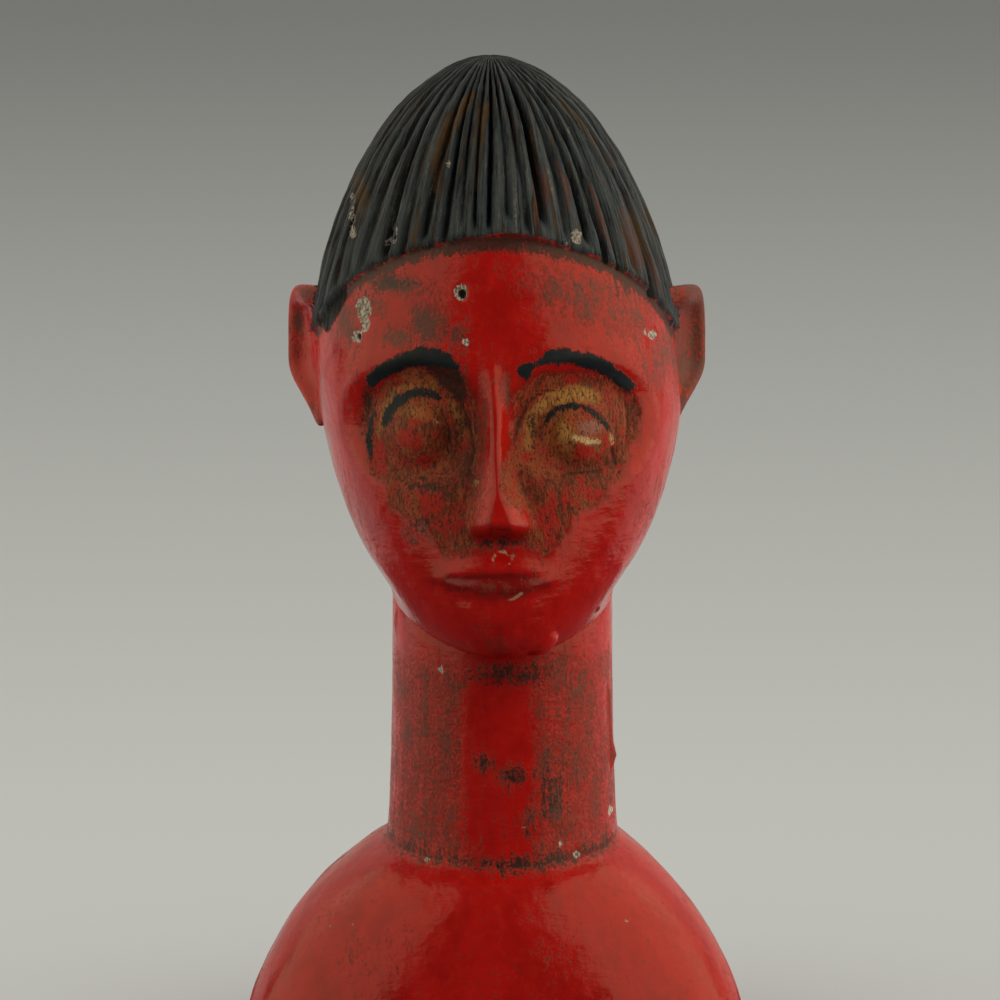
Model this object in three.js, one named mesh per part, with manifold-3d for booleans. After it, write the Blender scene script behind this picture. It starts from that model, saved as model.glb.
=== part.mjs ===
// The head and shoulders of a carved wooden spirit figure, painted in red enamel with black hair.
// The whole bust is one piece of wood: ribbed hair, face, ears, long round neck and sloping shoulders,
// cut off flat below the shoulders. It stands on that cut, looks along -Y and leans a little to +X
// at the jaw, as the carver left it. Units are millimetres and +Z is up.
import * as THREE from 'three';
import { mergeVertices } from 'three/addons/utils/BufferGeometryUtils.js';
import Module from 'manifold-3d';

const { lerp, smoothstep } = THREE.MathUtils;

// Head. Depths are shares of headDepth from the middle of the cut, heights are shares of headHeight
// above the chin, widths are shares of headWidth.
const headHeight = 94.2;
const headWidth = 58;
const headDepth = 75.5;

// Neck and shoulders.
const neckWidth = 35.2;
const neckDepth = 37;
const neckLength = 30.8; // from the foot of the neck, at its sides, up to the chin
const neckFlare = 1.8; // how much wider the neck is at its foot
const neckFootDip = 3.4; // the foot of the neck lies this much lower in front, and higher behind
const shoulderWidth = 82.8;
const shoulderDepth = 58;
const shoulderHeight = 34.6; // from the flat cut to the foot of the neck
const shoulderSink = 9; // the widest level of the shoulders lies this far below the cut
const shoulderStep = 0.4; // the shoulders begin this much outside the foot of the neck
const jawLean = 1.1; // the jaw and neck stand this far to +X of the middle

// Hair. The locks are ridges with a groove between them, running from the crown to the hairline,
// which is an arch in front and drops to the temples and again to the nape.
const lockCount = 40;
const grooveDepth = 1.45;
const grooveStart = 1.2; // the grooves begin this far above the hairline
const grooveFull = 5; // and have their full depth this far above it
const hairRise = 1.1;
const hairlineShare = 0.708;
const templeDrop = 15.5;
const templeAngle = THREE.MathUtils.degToRad(72);
const napeDrop = 35;
const napeAngle = THREE.MathUtils.degToRad(165);

// Ears.
const earHeight = 22.4;
const earDepth = 13;
const earReach = 2.1;
const earHollow = 2;
const earRoot = 3; // how deep the ear's back lies in the head
const earTopShare = 0.609;
const earShift = 0.2; // the ears, like the jaw, stand a little to +X
const earAngle = THREE.MathUtils.degToRad(24); // how far the hollow is turned to the front

// Face. A shift is how far a feature lies to +X of the middle.
const eyeSpacing = 26.2;
const eyeShift = 0.65;
const eyeWidth = 11;
const eyeHeight = 11.6;
const eyeBulge = 2.9;
const eyeShare = 0.383;
const lidWidth = 16.4;
const lidHeight = 15.6;
const lidBulge = 1.7;
const socketWidth = 24.5;
const socketHeight = 20.5;
const socketDepth = 2.5;
const socketShare = 0.393;
const browRise = 0.7;
const noseRootShare = 0.49;
const noseTipShare = 0.23;
const noseReach = 6.4;
const noseRootWidth = 4.4;
const noseWidth = 11;
const noseTipWidth = 3.6; // of the small flat that the ridge ends in
const noseRootShift = -0.3;
const noseTipShift = 0.8;
const mouthShare = 0.147;
const mouthShift = 0.1;
const mouthWidth = 19;
const lipHeight = 3.3;
const lipRise = 0.9;
const lipParting = 0.6;

// How finely the surface is cut into facets. Two columns make one lock, groove and ridge. The
// columns, and the locks with them, stand closer together in front than behind.
const columns = 2 * lockCount;
const frontCrowding = 0.3;
const ringShares = { hair: 11, face: 30, underJaw: 3, neck: 5, shoulders: 8 };

const chinLevel = shoulderHeight + neckLength;
const levelAt = (share) => chinLevel + share * headHeight;

// One ring of the surface: a flat, tilted oval through a front and a back point of the middle plane,
// with its half width, the depth at which it is widest, its shift to +X and how square its front is.
function ring(front, back, halfWidth, widestDepth, lean, squareness) {
  return {
    front: new THREE.Vector3(0, ...front),
    back: new THREE.Vector3(0, ...back),
    side: new THREE.Vector3(halfWidth, widestDepth, lean),
    shape: new THREE.Vector3(squareness, 0, 0),
  };
}

function headRing([frontDepth, frontLevel, backDepth, backLevel, width, widest, lean, squareness]) {
  return ring(
    [frontDepth * headDepth, levelAt(frontLevel)],
    [backDepth * headDepth, levelAt(backLevel)],
    width * headWidth,
    widest * headDepth,
    lean * jawLean,
    squareness,
  );
}

// From the crown down to the edge of the jaw. The rings tilt more and more towards the chin.
const crownRings = [
  [0.026, 0.988, 0.027, 0.988, 0, 0.026, -0.8, 2],
  [-0.116, 0.957, 0.154, 0.97, 0.121, 0.03, -0.7, 2],
  [-0.23, 0.892, 0.297, 0.91, 0.248, 0.04, -0.5, 2],
  [-0.322, 0.8, 0.416, 0.816, 0.352, 0.05, -0.4, 2],
].map(headRing);
const faceRings = [
  [-0.39, 0.702, 0.484, 0.707, 0.427, 0.05, -0.3, 2],
  [-0.432, 0.59, 0.505, 0.59, 0.476, 0.04, -0.1, 2.1],
  [-0.45, 0.484, 0.497, 0.489, 0.497, 0.02, 0.1, 2.2],
  [-0.447, 0.378, 0.464, 0.41, 0.494, 0, 0.75, 2.3],
  [-0.46, 0.24, 0.384, 0.341, 0.454, -0.03, 0.95, 2.2],
  [-0.477, 0.134, 0.331, 0.288, 0.403, -0.06, 1, 2],
  [-0.48, 0.066, 0.297, 0.251, 0.348, -0.09, 1, 1.8],
  [-0.444, 0.014, 0.278, 0.225, 0.303, -0.09, 1, 1.7],
].map(headRing);

// Under the jaw the surface turns in to the throat.
const throat = { front: levelAt(0.022), back: levelAt(0.188) };
const underJawRings = [
  ring(
    [-0.345 * headDepth, levelAt(0.006)],
    [0.27 * headDepth, levelAt(0.204)],
    (neckWidth / 2) * 1.015,
    -0.03 * headDepth,
    jawLean,
    1.8,
  ),
];

function neckRing(share) {
  const grown = neckFlare * share ** 3;
  return ring(
    [-(neckDepth + grown) / 2, lerp(throat.front, shoulderHeight - neckFootDip, share)],
    [(neckDepth + grown) / 2, lerp(throat.back, shoulderHeight + neckFootDip, share)],
    (neckWidth + grown) / 2,
    0,
    jawLean,
    2,
  );
}
const neckRings = [0, 0.06, 0.35, 0.7, 0.95].map(neckRing);

// The shoulders are a low dome. Seen from the front, its outline is the part of an ellipse that runs
// from the foot of the neck to the widest point at the cut.
const domeNeck = (neckWidth + neckFlare) / 2 + shoulderStep;
const domeRise = shoulderHeight + shoulderSink;
const domeWidest = shoulderWidth / 2;
const domeCurve =
  (domeWidest ** 2 - domeNeck ** 2) / ((domeWidest * domeRise) ** 2 - (domeNeck * shoulderSink) ** 2);
const domeHeight = 1 / Math.sqrt(domeCurve);
const domeHalfWidth = domeNeck / Math.sqrt(1 - domeCurve * domeRise ** 2);

function shoulderRing(share) {
  const top = Math.acos(domeRise / domeHeight);
  const bottom = Math.acos(shoulderSink / domeHeight);
  const angle = lerp(top, bottom, share);
  const halfWidth = domeHalfWidth * Math.sin(angle);
  const level = domeHeight * Math.cos(angle) - shoulderSink;
  const spread = Math.max(0, (halfWidth - domeNeck) / (domeWidest - domeNeck));
  const neckHalfDepth = (neckDepth + neckFlare) / 2 + shoulderStep;
  const halfDepth = lerp(neckHalfDepth, shoulderDepth / 2, spread ** 0.9);
  const dip = neckFootDip * (level / shoulderHeight);
  return ring(
    [-halfDepth, level - dip],
    [halfDepth, level + dip],
    halfWidth,
    0,
    jawLean * (1 - smoothstep(share, -0.1, 0.3)),
    lerp(2, 2.2, share),
  );
}
const shoulderRings = [0, 0.12, 0.3, 0.5, 0.75, 1].map(shoulderRing);

const stations = [...crownRings, ...faceRings, ...underJawRings, ...neckRings, ...shoulderRings];
const curveOf = (key) =>
  new THREE.CatmullRomCurve3(stations.map((station) => station[key]), false, 'catmullrom', 0.5);
const curves = {
  front: curveOf('front'),
  back: curveOf('back'),
  side: curveOf('side'),
  shape: curveOf('shape'),
};

// A point of the smooth surface, before anything is carved in it. The angle is 0 in front.
function surfacePoint(along, angle) {
  const front = curves.front.getPoint(along);
  const back = curves.back.getPoint(along);
  const side = curves.side.getPoint(along);
  const power = Math.cos(angle) > 0 ? 2 / curves.shape.getPoint(along).x : 1;
  const across = Math.sign(Math.sin(angle)) * Math.abs(Math.sin(angle)) ** power;
  const forward = Math.sign(Math.cos(angle)) * Math.abs(Math.cos(angle)) ** power;
  const depth = forward > 0 ? lerp(side.y, front.y, forward) : lerp(side.y, back.y, -forward);
  const run = back.y - front.y;
  const level = run > 0.01 ? lerp(front.z, back.z, (depth - front.y) / run) : front.z;
  return new THREE.Vector3(side.z + side.x * across, depth, level);
}

// How far a point lies above the hairline, whose level depends on the direction from the head's axis.
function aboveHairline(point) {
  const turn = Math.abs(Math.atan2(point.x, 0.04 * headDepth - point.y));
  const temple = templeDrop * Math.min(1, turn / templeAngle) ** 1.7;
  const nape = (napeDrop - templeDrop) * smoothstep(turn, templeAngle, napeAngle);
  return point.z - (levelAt(hairlineShare) - temple - nape);
}

// How far the hair stands out of the smooth head at a point. The lock angle runs evenly round it.
function hairRelief(point, lockAngle) {
  const above = aboveHairline(point);
  const covered = smoothstep(above / hairRise, -0.7, 0.7);
  const belowCrown = 1 - smoothstep(point.z, levelAt(0.95), levelAt(1.01));
  const carved = smoothstep(above, grooveStart, grooveFull) * belowCrown;
  const groove = (1 + Math.cos(lockCount * lockAngle)) / 2;
  return covered * hairRise - carved * grooveDepth * groove;
}

// How far a point is from the middle of the oval on its side of the face, as a share of its radius.
function ovalDistance(x, level, middle, width, height) {
  const out = (Math.abs(x - eyeShift) - eyeSpacing / 2) / (width / 2);
  const up = (level - levelAt(middle)) / (height / 2);
  return Math.hypot(out, up);
}

const dome = (distance, roundness) => Math.max(0, 1 - distance ** 2) ** roundness;

// Wide shallow sockets under arched brows, each with a bulging eye and its lid.
function eyeRelief(x, level) {
  const fromSocket = ovalDistance(x, level, socketShare, socketWidth, socketHeight);
  const fromEye = ovalDistance(x, level, eyeShare, eyeWidth, eyeHeight);
  const fromLid = ovalDistance(x, level, eyeShare, lidWidth, lidHeight);
  const upper = smoothstep((level - levelAt(eyeShare)) / eyeHeight, -0.43, 0.26);
  const socket = -socketDepth * (1 - smoothstep(fromSocket, 0.5, 1.06));
  const eye = eyeBulge * dome(fromEye, 0.75);
  const lid = lidBulge * dome(fromLid, 1.1) * lerp(0.45, 1, upper);
  const arch = smoothstep(fromSocket, 0.85, 1.12) * (1 - smoothstep(fromSocket, 1.15, 1.5));
  return socket + Math.max(eye, lid) + browRise * upper * arch;
}

// A thin ridge that leans a little, ends in a small flat and widens to the wings of the nose.
function noseRelief(x, level) {
  const down = (levelAt(noseRootShare) - level) / ((noseRootShare - noseTipShare) * headHeight);
  const run = Math.min(1, Math.max(0, down));
  const half = lerp(noseRootWidth, noseWidth, smoothstep(down, 0.4, 1) ** 1.3) / 2;
  const tip = (noseTipWidth / 2) * smoothstep(down, 0.65, 1);
  const fromRidge = Math.abs(x - lerp(noseRootShift, noseTipShift, run ** 2));
  const slope = Math.min(1, Math.max(0, fromRidge - tip) / (half - tip));
  const ends = smoothstep(down, -0.2, 0.25) * (1 - smoothstep(down, 0.96, 1.09));
  return noseReach * lerp(0.28, 1, run ** 0.9) * (1 - slope) * ends;
}

// A small, slightly raised mouth with a straight parting.
function mouthRelief(x, level) {
  const up = Math.abs(level - levelAt(mouthShare)) / lipHeight;
  const out = Math.abs(x - mouthShift) / (mouthWidth / 2);
  const lips = 1 - smoothstep(Math.hypot(out, up), 0.55, 1.15);
  const parting = (1 - smoothstep(up, 0.12, 0.36)) * (1 - smoothstep(out, 0.58, 0.95));
  return lipRise * lips - lipParting * parting;
}

// The carved surface: the hair stands out square to the head, the face to the front.
function carvedPoint(along, lockAngle) {
  const angle = lockAngle - frontCrowding * Math.sin(lockAngle);
  const point = surfacePoint(along, angle);
  const onHead = smoothstep(point.z, chinLevel, levelAt(0.03));
  const facing = smoothstep(Math.cos(angle), 0.25, 0.6) * onHead;
  const outward = new THREE.Vector3(Math.sin(angle), -Math.cos(angle), 0);
  outward.z = smoothstep(point.z, levelAt(0.7), levelAt(1)) * 1.2;
  const hair = hairRelief(point, lockAngle) * smoothstep(point.z, levelAt(0.2), levelAt(0.3));
  const face = eyeRelief(point.x, point.z) + noseRelief(point.x, point.z) + mouthRelief(point.x, point.z);
  return point
    .addScaledVector(outward.normalize(), hair)
    .add(new THREE.Vector3(0, -face * facing, 0));
}

// Rings are spread evenly over each part of the surface, and closer together on the face.
function ringPlaces() {
  const counts = [crownRings, faceRings, underJawRings, neckRings, shoulderRings].map(
    (rings) => rings.length,
  );
  const places = [];
  let first = 0;
  Object.values(ringShares).forEach((share, part) => {
    const last = Math.min(first + counts[part], stations.length - 1);
    for (let step = 0; step < share; step++) {
      places.push(lerp(first, last, step / share) / (stations.length - 1));
    }
    first = last;
  });
  return [...places.slice(1), 1];
}

// A closed surface from rings of points, with a single point at either end.
function closedSurface(rings, start, end) {
  const width = rings[0].length;
  const points = [start, ...rings.flat(), end];
  const at = (row, column) => 1 + row * width + (column % width);
  const faces = [];
  for (let column = 0; column < width; column++) {
    faces.push(0, at(0, column), at(0, column + 1));
    faces.push(points.length - 1, at(rings.length - 1, column + 1), at(rings.length - 1, column));
    for (let row = 0; row < rings.length - 1; row++) {
      faces.push(at(row, column), at(row + 1, column), at(row, column + 1));
      faces.push(at(row, column + 1), at(row + 1, column), at(row + 1, column + 1));
    }
  }
  return new THREE.BufferGeometry().setFromPoints(points).setIndex(faces);
}

function bustGeometry() {
  const angles = Array.from({ length: columns }, (_, step) => (2 * Math.PI * step) / columns);
  const rings = ringPlaces().map((along) => angles.map((angle) => carvedPoint(along, angle)));
  const cutMiddle = new THREE.Vector3(0, 0, 0);
  rings.at(-1).forEach((point) => point.setZ(cutMiddle.z));
  return closedSurface(rings, carvedPoint(0, 0), cutMiddle);
}

// An ear: a shell with a hollow, square at its top and drawn in to a thin lobe, whose root is buried
// in the head. Its back edge is straight, and its front edge lies nearly flush with the cheek.
function earGeometry(side) {
  const middle = new THREE.Vector3(
    (side * headWidth) / 2 + earShift,
    0.02 * headDepth,
    levelAt(earTopShare) - earHeight / 2,
  );
  const outward = new THREE.Vector3(side * Math.cos(earAngle), -Math.sin(earAngle), 0);
  const forward = new THREE.Vector3(-side * Math.sin(earAngle), -Math.cos(earAngle), 0);
  const spokes = 24;
  const section = [
    [0.3, earReach - earHollow],
    [0.6, earReach - earHollow * 0.7],
    [0.8, earReach * 0.95],
    [0.96, earReach],
    [1, earReach * 0.45],
    [0.9, -earRoot],
  ];
  const shellPoint = (share, reach, angle) => {
    const power = Math.cos(angle) > 0 ? 2 / 4.5 : 2 / 2.2;
    const up = Math.sign(Math.cos(angle)) * Math.abs(Math.cos(angle)) ** power;
    const out = Math.sign(Math.sin(angle)) * Math.abs(Math.sin(angle)) ** power;
    const narrowing = lerp(0.5, 1, smoothstep(up, -1, -0.1));
    const height = (earHeight / 2) * share * up;
    const thinning = lerp(0.45, 1, smoothstep(height / earHeight, -0.5, -0.1));
    const opening = lerp(1, 0.1, smoothstep(share * out, 0, 0.85));
    return middle
      .clone()
      .addScaledVector(outward, reach > 0 ? reach * thinning * opening : reach)
      .addScaledVector(forward, (earDepth / 2) * share * (1 - (1 - out) * narrowing))
      .setZ(middle.z + height);
  };
  const rings = section.map(([share, reach]) =>
    Array.from({ length: spokes }, (_, step) =>
      shellPoint(share, reach, (side * 2 * Math.PI * step) / spokes),
    ),
  );
  return closedSurface(
    rings,
    shellPoint(0, earReach - earHollow, 0),
    shellPoint(0, -earRoot, 0),
  );
}

const wasm = await Module();
wasm.setup();

function solidOf(geometry) {
  const merged = mergeVertices(geometry, 1e-4);
  return new wasm.Manifold(
    new wasm.Mesh({
      numProp: 3,
      vertProperties: merged.getAttribute('position').array,
      triVerts: new Uint32Array(merged.index.array),
    }),
  );
}

function geometryOf(solid) {
  const { vertProperties, triVerts } = solid.getMesh();
  const geometry = new THREE.BufferGeometry();
  geometry.setAttribute('position', new THREE.BufferAttribute(vertProperties, 3));
  geometry.setIndex(new THREE.BufferAttribute(triVerts, 1));
  geometry.computeVertexNormals();
  return geometry;
}

const carving = [-1, 1].reduce(
  (solid, side) => solid.add(solidOf(earGeometry(side))),
  solidOf(bustGeometry()),
);

const redEnamel = new THREE.MeshStandardMaterial({ color: 0xa51408, roughness: 0.25, metalness: 0 });
const bust = new THREE.Mesh(geometryOf(carving), redEnamel);
bust.name = 'carved_bust';

const figure = new THREE.Group();
figure.add(bust);

export default figure;
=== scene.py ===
# The head and shoulders of a carved wooden spirit figure, painted in red enamel with black hair.
# It stands on its flat cut at z = 0, looks along -y, and leans a little to +x at the jaw.
import math

import bpy
import numpy as np
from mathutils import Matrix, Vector, kdtree, noise


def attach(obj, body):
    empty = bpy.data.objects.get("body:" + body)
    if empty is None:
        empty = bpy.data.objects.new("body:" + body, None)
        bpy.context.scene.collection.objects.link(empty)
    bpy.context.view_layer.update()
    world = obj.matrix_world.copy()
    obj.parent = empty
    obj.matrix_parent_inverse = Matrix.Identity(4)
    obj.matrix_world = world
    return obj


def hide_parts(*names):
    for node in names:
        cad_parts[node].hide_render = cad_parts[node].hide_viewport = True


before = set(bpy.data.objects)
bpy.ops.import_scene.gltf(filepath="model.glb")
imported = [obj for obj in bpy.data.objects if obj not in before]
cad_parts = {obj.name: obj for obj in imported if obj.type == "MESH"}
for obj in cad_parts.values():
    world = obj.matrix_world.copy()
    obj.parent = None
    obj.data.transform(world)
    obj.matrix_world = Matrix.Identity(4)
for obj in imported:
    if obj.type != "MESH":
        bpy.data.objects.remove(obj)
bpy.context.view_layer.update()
MM = 0.001


# The view. A long lens stands a little above the level of the mouth and looks slightly down.
# The picture's lower edge cuts the shoulders off, so the bust's own cut and the floor lie below it.
PIXEL = 0.16 * MM
PICTURE_SIDE = 1000
MIDDLE_COLUMN = 495.5
CUT_ROW = 1050
LOOK_DOWN = math.radians(5)
CAMERA_DISTANCE = 1.2
SENSOR = 36

picture_centre = Vector(
    (
        (PICTURE_SIDE / 2 - MIDDLE_COLUMN) * PIXEL,
        0,
        (CUT_ROW - PICTURE_SIDE / 2) * PIXEL / math.cos(LOOK_DOWN),
    )
)
towards_camera = Vector((0, -math.cos(LOOK_DOWN), math.sin(LOOK_DOWN)))
camera_data = bpy.data.cameras.new("long_lens")
camera_data.sensor_width = SENSOR
camera_data.lens = SENSOR * CAMERA_DISTANCE / (PICTURE_SIDE * PIXEL)
camera = bpy.data.objects.new("photo_camera", camera_data)
camera.location = picture_centre + towards_camera * CAMERA_DISTANCE
camera.rotation_euler = (math.pi / 2 - LOOK_DOWN, 0, 0)
bpy.context.scene.collection.objects.link(camera)
bpy.context.scene.camera = camera


# The block. The whole figure is cut from one piece of wood: an egg-shaped head with its chin pushed
# forward, a long round neck and sloping shoulders. Its form is a loft of flat, tilted oval rings,
# one inside each station below. Lengths are in millimetres, and in the head they are shares.
HEAD_HEIGHT = 94.2
HEAD_WIDTH = 58
HEAD_DEPTH = 75.5
NECK_WIDTH = 35.2
NECK_DEPTH = 37
NECK_LENGTH = 30.8
NECK_FLARE = 1.8
NECK_FOOT_DIP = 3.4
SHOULDER_WIDTH = 82.8
SHOULDER_DEPTH = 58
SHOULDER_HEIGHT = 34.6
SHOULDER_SINK = 9
SHOULDER_STEP = 0.4
JAW_LEAN = 1.1
CHIN_LEVEL = SHOULDER_HEIGHT + NECK_LENGTH


def level_at(share):
    return CHIN_LEVEL + share * HEAD_HEIGHT


def mix(low, high, share):
    return low + (high - low) * share


def smooth(value, low, high):
    t = np.clip((value - low) / (high - low), 0, 1)
    return t * t * (3 - 2 * t)


# Each row: front depth and level, back depth and level, half width, widest depth, lean, squareness.
CROWN_SHARES = [
    (0.026, 0.988, 0.027, 0.988, 0, 0.026, -0.8, 2),
    (-0.116, 0.957, 0.154, 0.97, 0.121, 0.03, -0.7, 2),
    (-0.23, 0.892, 0.297, 0.91, 0.248, 0.04, -0.5, 2),
    (-0.322, 0.8, 0.416, 0.816, 0.352, 0.05, -0.4, 2),
]
FACE_SHARES = [
    (-0.39, 0.702, 0.484, 0.707, 0.427, 0.05, -0.3, 2),
    (-0.432, 0.59, 0.505, 0.59, 0.476, 0.04, -0.1, 2.1),
    (-0.45, 0.484, 0.497, 0.489, 0.497, 0.02, 0.1, 2.2),
    (-0.447, 0.378, 0.464, 0.41, 0.494, 0, 0.75, 2.3),
    (-0.46, 0.24, 0.384, 0.341, 0.454, -0.03, 0.95, 2.2),
    (-0.477, 0.134, 0.331, 0.288, 0.403, -0.06, 1, 2),
    (-0.48, 0.066, 0.297, 0.251, 0.348, -0.09, 1, 1.8),
    (-0.444, 0.014, 0.278, 0.225, 0.303, -0.09, 1, 1.7),
]


def head_station(row):
    front, front_level, back, back_level, width, widest, lean, squareness = row
    return (
        front * HEAD_DEPTH,
        level_at(front_level),
        back * HEAD_DEPTH,
        level_at(back_level),
        width * HEAD_WIDTH,
        widest * HEAD_DEPTH,
        lean * JAW_LEAN,
        squareness,
    )


def neck_station(share):
    depth = (NECK_DEPTH + NECK_FLARE * share**3) / 2
    width = (NECK_WIDTH + NECK_FLARE * share**3) / 2
    front_level = mix(level_at(0.022), SHOULDER_HEIGHT - NECK_FOOT_DIP, share)
    back_level = mix(level_at(0.188), SHOULDER_HEIGHT + NECK_FOOT_DIP, share)
    return (-depth, front_level, depth, back_level, width, 0, JAW_LEAN, 2)


def shoulder_station(share):
    neck = (NECK_WIDTH + NECK_FLARE) / 2 + SHOULDER_STEP
    rise = SHOULDER_HEIGHT + SHOULDER_SINK
    widest = SHOULDER_WIDTH / 2
    curve = (widest**2 - neck**2) / ((widest * rise) ** 2 - (neck * SHOULDER_SINK) ** 2)
    dome_height = 1 / math.sqrt(curve)
    dome_width = neck / math.sqrt(1 - curve * rise**2)
    angle = mix(math.acos(rise / dome_height), math.acos(SHOULDER_SINK / dome_height), share)
    half_width = dome_width * math.sin(angle)
    level = dome_height * math.cos(angle) - SHOULDER_SINK
    spread = max(0, (half_width - neck) / (widest - neck))
    neck_half_depth = (NECK_DEPTH + NECK_FLARE) / 2 + SHOULDER_STEP
    half_depth = mix(neck_half_depth, SHOULDER_DEPTH / 2, spread**0.9)
    dip = NECK_FOOT_DIP * level / SHOULDER_HEIGHT
    lean = JAW_LEAN * (1 - smooth(share, -0.1, 0.3))
    return (-half_depth, level - dip, half_depth, level + dip, half_width, 0, lean, mix(2, 2.2, share))


UNDER_JAW = (
    -0.345 * HEAD_DEPTH,
    level_at(0.006),
    0.27 * HEAD_DEPTH,
    level_at(0.204),
    NECK_WIDTH / 2 * 1.015,
    -0.03 * HEAD_DEPTH,
    JAW_LEAN,
    1.8,
)
groups = {
    "hair": [head_station(row) for row in CROWN_SHARES],
    "face": [head_station(row) for row in FACE_SHARES],
    "under_jaw": [UNDER_JAW],
    "neck": [neck_station(share) for share in (0, 0.06, 0.35, 0.7, 0.95)],
    "shoulders": [shoulder_station(share) for share in (0, 0.12, 0.3, 0.5, 0.75, 1)],
}
# The first ring below the crown, turned over, stands before it, so that the crown is round.
# One more ring below the cut steers the end of the loft.
below_crown = groups["hair"][1]
turned_over = (*below_crown[2:4], *below_crown[:2], -below_crown[4], *below_crown[5:])
stations = np.array([turned_over] + [row for rows in groups.values() for row in rows])
stations = np.vstack([stations, 2 * stations[-1] - stations[-2]])


def curve_through(rows, places):
    """A smooth curve that starts at the second row and ends at the last but one."""
    first = np.minimum(places.astype(int), len(rows) - 4)
    t = (places - first)[:, None]
    a, b, c, d = (rows[first + step] for step in range(4))
    return 0.5 * (
        2 * b + (c - a) * t + (2 * a - 5 * b + 4 * c - d) * t**2 + (3 * b - a - 3 * c + d) * t**3
    )


def loft(places, angles):
    """Points of the smooth form. Place 0 is the crown and whole numbers are the stations."""
    rings = curve_through(stations, places)
    front, front_level, back, back_level, half, widest, lean, squareness = rings.T[:, :, None]
    sine, cosine = np.sin(angles)[None], np.cos(angles)[None]
    power = np.where(cosine > 0, 2 / squareness, 1)
    across = np.sign(sine) * np.abs(sine) ** power
    forward = np.sign(cosine) * np.abs(cosine) ** power
    depth = np.where(forward > 0, mix(widest, front, forward), mix(widest, back, -forward))
    run = np.maximum(back - front, 0.01)
    level = mix(front_level, back_level, np.clip((depth - front) / run, 0, 1))
    return np.stack([lean + half * across, depth, level], axis=-1)


ROWS = {"hair": 56, "face": 132, "under_jaw": 18, "neck": 28, "shoulders": 36}
COLUMNS = 340
FRONT_CROWDING = 0.3

places, start = [], 0
for name, rows in ROWS.items():
    end = start + len(groups[name]) - (name == "shoulders")
    places.extend(np.linspace(start, end, rows, endpoint=False))
    start = end
places = np.array(places[1:] + [start])
turns = np.arange(COLUMNS) * 2 * math.pi / COLUMNS
angles = turns - FRONT_CROWDING * np.sin(turns)
surface = loft(places, angles)
crown = loft(np.array([0.0]), np.array([0.0]))[0]


# The hair. It stands a millimetre out of the head and is cut into long locks, with a groove between
# each two, that run down from the crown to an arched hairline in front, the temples and the nape.
LOCK_COUNT = 40
GROOVE_DEPTH = 1.45
HAIR_RISE = 1.1
LOCK_WANDER = 1.3
FRONT_HAIRLINE = 0.708
TEMPLE_DROP = 15.5
TEMPLE_TURN = math.radians(72)
NAPE_DROP = 35
NAPE_TURN = math.radians(165)
CROWN_BACK = 3


def above_hairline(points):
    """Height above the hairline. The hairline depends on the direction seen from above."""
    x, y, z = points[..., 0], points[..., 1], points[..., 2]
    turn = np.abs(np.arctan2(x, CROWN_BACK - y))
    temple = TEMPLE_DROP * np.minimum(1, turn / TEMPLE_TURN) ** 1.7
    nape = (NAPE_DROP - TEMPLE_DROP) * smooth(turn, TEMPLE_TURN, NAPE_TURN)
    return z - (level_at(FRONT_HAIRLINE) - temple - nape)


def hair_relief(points, turns):
    above = above_hairline(points)
    z = points[..., 2]
    covered = smooth(above, -0.5, 0.7)
    fade = mix(0.2, 2, 0.5 + 0.5 * np.sin(3 * turns + 1)) + 0.8 * np.sin(17 * turns)
    carved = smooth(above, fade - 0.8, fade + 1.6) * (1 - smooth(z, level_at(0.95), level_at(1.01)))
    wander = LOCK_WANDER * np.sin(5 * turns + 1) + 0.7 * np.sin(11 * turns + z / 9)
    wave = np.abs(np.sin((LOCK_COUNT * turns + wander) / 2))
    depth = GROOVE_DEPTH * (0.9 + 0.45 * np.sin(13 * turns + 2) + 0.25 * np.sin(7 * turns + z / 5))
    groove = 1 - smooth(wave, 0.12 + 0.12 * np.sin(9 * turns), 0.85)
    return covered * HAIR_RISE - carved * depth * groove


# The face. Wide shallow sockets lie under arched brows, each with a bulging eye and its lid. The
# nose is a thin ridge that widens to its wings, over a small straight mouth with flat lips.
EYE_SPACING = 26.2
EYE_SHIFT = 0.65
EYE_WIDTH = 11
EYE_HEIGHT = 11.6
EYE_BULGE = 2.9
EYE_LEVEL = 0.383
LID_WIDTH = 16.4
LID_HEIGHT = 15.6
LID_BULGE = 1.7
SOCKET_WIDTH = 24.5
SOCKET_HEIGHT = 20.5
SOCKET_DEPTH = 2.5
SOCKET_LEVEL = 0.393
BROW_RISE = 0.7
NOSE_ROOT_LEVEL = 0.49
NOSE_TIP_LEVEL = 0.23
NOSE_REACH = 6.4
NOSE_ROOT_WIDTH = 4.4
NOSE_WIDTH = 11
NOSE_TIP_WIDTH = 3.6
NOSE_ROOT_SHIFT = -0.3
NOSE_TIP_SHIFT = 0.8
MOUTH_LEVEL = 0.147
MOUTH_SHIFT = 0.1
MOUTH_WIDTH = 19
LIP_HEIGHT = 3.3
LIP_RISE = 0.9
LIP_PARTING = 0.6


def oval_distance(across, level, middle, width, height):
    """1 on the oval's edge, 0 in its middle. Both sides of the face have one."""
    out = (np.abs(across - EYE_SHIFT) - EYE_SPACING / 2) / (width / 2)
    up = (level - level_at(middle)) / (height / 2)
    return np.sqrt(out**2 + up**2)


def dome(distance, roundness):
    return np.maximum(0, 1 - distance**2) ** roundness


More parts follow.
